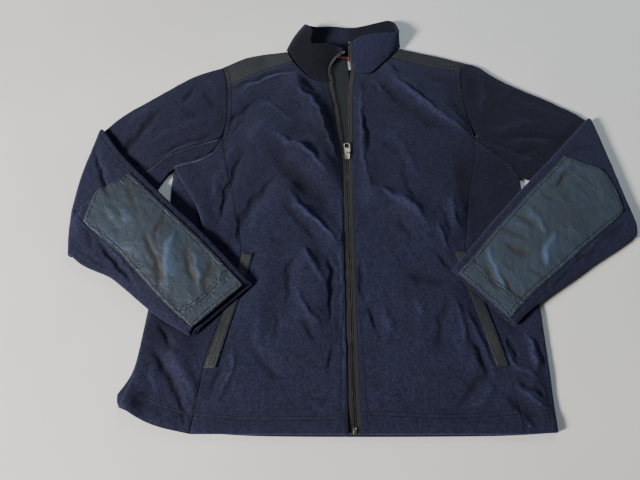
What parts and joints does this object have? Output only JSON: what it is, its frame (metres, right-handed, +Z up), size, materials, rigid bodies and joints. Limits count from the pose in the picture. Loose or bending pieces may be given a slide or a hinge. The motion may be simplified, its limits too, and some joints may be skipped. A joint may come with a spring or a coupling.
{
  "type": "fleece zip jacket",
  "caption": "Long-sleeved fleece jacket with a full zip, stand collar, slanted pocket welts and smooth elbow patches, laid flat with both sleeves folded in.",
  "frame": {"origin": "on the floor under the jacket, on the zip's line, 397 mm above the hem", "axes": "+X to the wearer's left, +Y from the hem to the collar, +Z up from the floor, out of the jacket's front"},
  "size_m": [0.9276, 0.7962, 0.0304],
  "materials": {
    "fleece": "napped dark navy fleece, matte with a faint sheen",
    "nylon": "smooth woven nylon, dark slate blue, satin",
    "yoke": "woven nylon, very dark grey-green, soft satin",
    "tape": "woven black tape, matte",
    "teeth": "dark nylon coil",
    "flap": "smooth dark lining cloth",
    "metal": "pale nickel plating, worn smooth",
    "label": "woven blank label, red along its top"
  },
  "bodies": {
    "jacket": {"back": "fleece", "collar_inner": "fleece", "collar_outer": "fleece", "elbow_patch_left": "nylon", "elbow_patch_right": "nylon", "front_left_centre": "fleece", "front_left_side": "fleece", "front_right_centre": "fleece", "front_right_side": "fleece", "label": "label", "pocket_welt_left": "nylon", "pocket_welt_right": "nylon", "sleeve_left": "fleece", "sleeve_right": "fleece", "sleeve_under_left": "fleece", "sleeve_under_right": "fleece", "wind_flap": "flap", "yoke_left": "yoke", "yoke_right": "yoke", "zip_box": "metal", "zip_slider": "metal", "zip_stop_left": "metal", "zip_stop_right": "metal", "zip_tape_left": "tape", "zip_tape_right": "tape", "zip_teeth_left": "teeth", "zip_teeth_right": "teeth"},
    "pull": {"zip_pull": "metal"}
  },
  "joints": [
    {"name": "pull_hinge", "type": "hinge", "parent": "jacket", "child": "pull", "pos_m": [0, 0.057, 0.01055], "axis": [1, 0, 0], "range_deg": [0, 175]}
  ]
}
